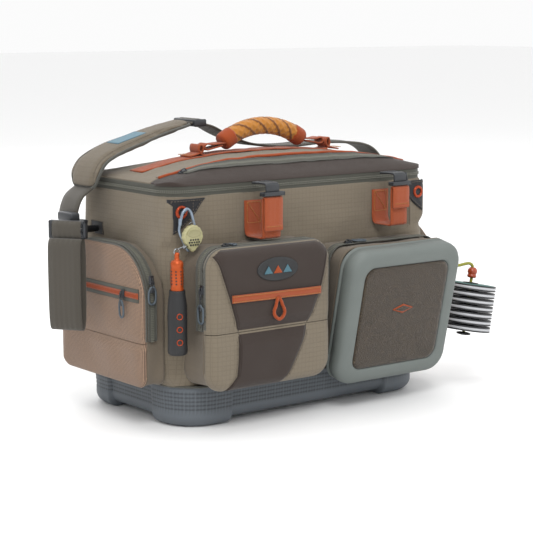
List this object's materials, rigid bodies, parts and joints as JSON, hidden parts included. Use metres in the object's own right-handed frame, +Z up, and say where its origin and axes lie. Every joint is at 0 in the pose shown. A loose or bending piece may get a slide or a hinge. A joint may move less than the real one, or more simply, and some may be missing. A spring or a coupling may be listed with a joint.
{
  "type": "fishing gear bag",
  "caption": "Soft fishing gear bag on a moulded base with zipped lid, front and end pockets, fold-down bench pocket, carry handle and shoulder strap.",
  "frame": {"origin": "centre of the underside of the moulded base, on the surface that the bag stands on", "axes": "+X along the bag's length to the right seen from the front, -Y out of the front, +Z up"},
  "size_m": [0.5678, 0.2846, 0.3315],
  "materials": {
    "ripstop_tan": "checked ripstop weave",
    "cloth_brown": "smooth heavy cloth",
    "tape_grey": "zip tape and binding",
    "gusset_tan": "soft gathered cloth",
    "mesh_salmon": "coated open mesh over cloth",
    "web_orange": "woven webbing",
    "web_strap": "woven webbing",
    "pad_cloth": "padded ripstop",
    "lining": "plain lining",
    "grip_braid": "braided cord",
    "base_plastic": "dimpled moulding",
    "tray_plastic": "smooth moulded foam shell",
    "felt": "speckled felt",
    "foam": "closed-cell foam",
    "tab_black": "coated cloth",
    "hardware_dark": "moulded",
    "grommet_orange": "anodised",
    "slider_metal": "dark plated",
    "carabiner_metal": "anodised",
    "retractor_plastic": "satin",
    "tube_orange": "anodised",
    "sheath_rubber": "moulded",
    "cord_lime": "braided cord",
    "spool_silver": "moulded",
    "toggle_orange": "moulded"
  },
  "bodies": {
    "bag": {"body_front_panel": "ripstop_tan", "body_back_panel": "ripstop_tan", "body_end_panels": "ripstop_tan", "molded_base": "base_plastic", "body_zip_tape": "tape_grey", "corner_tabs": "tab_black", "tab_grommets": "grommet_orange", "front_pocket_gusset": "gusset_tan", "front_pocket_lower_panel": "cloth_brown", "bench_gusset": "gusset_tan", "end_pocket_gussets": "gusset_tan", "end_pocket_lower_meshes": "mesh_salmon", "divider_long": "lining", "dividers_cross": "lining", "ring_tabs": "web_strap", "d_rings": "hardware_dark", "rod_strap_tabs": "web_orange"},
    "lid": {"lid_shell": "ripstop_tan", "lid_front_band": "cloth_brown", "lid_zip_tape": "tape_grey", "lid_webbing": "web_orange", "lid_lining": "lining"},
    "handle": {"handle_grip": "grip_braid", "handle_loops": "web_orange"},
    "strap": {"shoulder_pad": "pad_cloth", "strap_web": "web_strap", "strap_buckles": "hardware_dark", "snap_hooks": "hardware_dark", "strap_left_loop": "web_strap"},
    "front_flap": {"front_flap_panel": "cloth_brown", "front_flap_band": "web_orange"},
    "bench": {"bench_shell": "tray_plastic", "bench_felt": "felt", "bench_foam": "foam"},
    "left_flap": {"left_flap_mesh": "mesh_salmon", "left_flap_zip": "tape_grey"},
    "right_flap": {"right_flap_mesh": "mesh_salmon", "right_flap_zip": "tape_grey"},
    "rod_strap_left": {"rod_web_left": "web_orange", "rod_hook_left": "hardware_dark"},
    "rod_strap_right": {"rod_web_right": "web_orange", "rod_hook_right": "hardware_dark"},
    "retractor": {"carabiner": "carabiner_metal", "retractor_case": "retractor_plastic"},
    "thermometer": {"thermometer_tube": "tube_orange"},
    "sheath": {"thermometer_sheath": "sheath_rubber"},
    "spool_post": {"tippet_cord": "cord_lime"},
    "spools": {"tippet_spools": "spool_silver"},
    "toggle": {"tippet_toggle": "toggle_orange"},
    "lid_pocket_slider": {"lid_pocket_slider": "slider_metal"},
    "front_slider_top": {"front_slider_top": "slider_metal"},
    "front_slider_left": {"front_slider_left": "slider_metal"},
    "bench_slider_top": {"bench_slider_top": "slider_metal"},
    "bench_slider_left": {"bench_slider_left": "slider_metal"},
    "left_arch_slider": {"left_arch_slider": "slider_metal"},
    "left_mesh_slider": {"left_mesh_slider": "slider_metal"},
    "main_zip_slider": {"main_zip_slider": "slider_metal"}
  },
  "joints": [
    {"name": "lid_hinge", "type": "hinge", "parent": "bag", "child": "lid", "pos_m": [0, 0.095, 0.262], "axis": [-1, 0, 0], "range_deg": [0, 80]},
    {"name": "handle_hinge", "type": "hinge", "parent": "lid", "child": "handle", "pos_m": [0.009, 0, 0.3], "axis": [1, 0, 0], "range_deg": [-8, 40]},
    {"name": "strap_bail", "type": "hinge", "parent": "bag", "child": "strap", "pos_m": [0, 0.048, 0.21], "axis": [-1, 0, 0], "range_deg": [0, 108]},
    {"name": "front_flap_hinge", "type": "hinge", "parent": "bag", "child": "front_flap", "pos_m": [-0.0865, -0.145, 0.112], "axis": [1, 0, 0], "range_deg": [0, 110]},
    {"name": "bench_hinge", "type": "hinge", "parent": "bag", "child": "bench", "pos_m": [0.091, -0.112, 0.036], "axis": [1, 0, 0], "range_deg": [0, 76]},
    {"name": "left_flap_hinge", "type": "hinge", "parent": "bag", "child": "left_flap", "pos_m": [-0.216, 0.004, 0.098], "axis": [0, -1, 0], "range_deg": [0, 85], "deforming": ["strap_left_loop"]},
    {"name": "right_flap_hinge", "type": "hinge", "parent": "bag", "child": "right_flap", "pos_m": [0.216, 0.004, 0.098], "axis": [0, 1, 0], "range_deg": [0, 85]},
    {"name": "rod_strap_left_hinge", "type": "hinge", "parent": "bag", "child": "rod_strap_left", "pos_m": [-0.075, -0.127, 0.209], "axis": [1, 0, 0], "range_deg": [0, 60]},
    {"name": "rod_strap_right_hinge", "type": "hinge", "parent": "bag", "child": "rod_strap_right", "pos_m": [0.112, -0.127, 0.209], "axis": [1, 0, 0], "range_deg": [0, 60]},
    {"name": "retractor_swing", "type": "hinge", "parent": "bag", "child": "retractor", "pos_m": [-0.172, -0.0945, 0.24], "axis": [-1, 0, 0], "range_deg": [0, 40]},
    {"name": "retractor_pull", "type": "slide", "parent": "retractor", "child": "thermometer", "axis": [0, 0, -1], "range_m": [0, 0.04], "stiffness_N_per_m": 60},
    {"name": "sheath_pull", "type": "slide", "parent": "thermometer", "child": "sheath", "axis": [0, 0, -1], "range_m": [0, 0.04]},
    {"name": "spool_swing", "type": "hinge", "parent": "bag", "child": "spool_post", "pos_m": [0.262, -0.091, 0.143], "axis": [0, -1, 0], "range_deg": [0, 25]},
    {"name": "spool_spin", "type": "hinge", "parent": "spool_post", "child": "spools", "pos_m": [0.262, -0.091, 0.09], "axis": [0.1736, 0, 0.9848], "continuous": true},
    {"name": "toggle_slide", "type": "slide", "parent": "spool_post", "child": "toggle", "axis": [-0.1736, 0, -0.9848], "range_m": [0, 0.005]},
    {"name": "lid_pocket_zip", "type": "slide", "parent": "lid", "child": "lid_pocket_slider", "axis": [0.9863, 0, 0.165], "range_m": [0, 0.04]},
    {"name": "front_zip_top", "type": "slide", "parent": "bag", "child": "front_slider_top", "axis": [1, 0, 0], "range_m": [0, 0.035]},
    {"name": "front_zip_left", "type": "slide", "parent": "bag", "child": "front_slider_left", "axis": [0, 0, -1], "range_m": [0, 0.03]},
    {"name": "bench_zip_top", "type": "slide", "parent": "bag", "child": "bench_slider_top", "axis": [1, 0, 0], "range_m": [0, 0.04]},
    {"name": "bench_zip_left", "type": "slide", "parent": "bag", "child": "bench_slider_left", "axis": [0, 0, -1], "range_m": [0, 0.04]},
    {"name": "left_arch_zip", "type": "slide", "parent": "bag", "child": "left_arch_slider", "axis": [0, 0, -1], "range_m": [0, 0.01]},
    {"name": "left_mesh_zip", "type": "slide", "parent": "left_flap", "child": "left_mesh_slider", "axis": [0, 1, 0], "range_m": [0, 0.08]},
    {"name": "main_zip", "type": "slide", "parent": "bag", "child": "main_zip_slider", "axis": [-1, 0, 0], "range_m": [0, 0.06]}
  ],
  "couplings": [
    {"joint": "strap_bail", "follows": "lid_hinge", "ratio": 1.35}
  ]
}
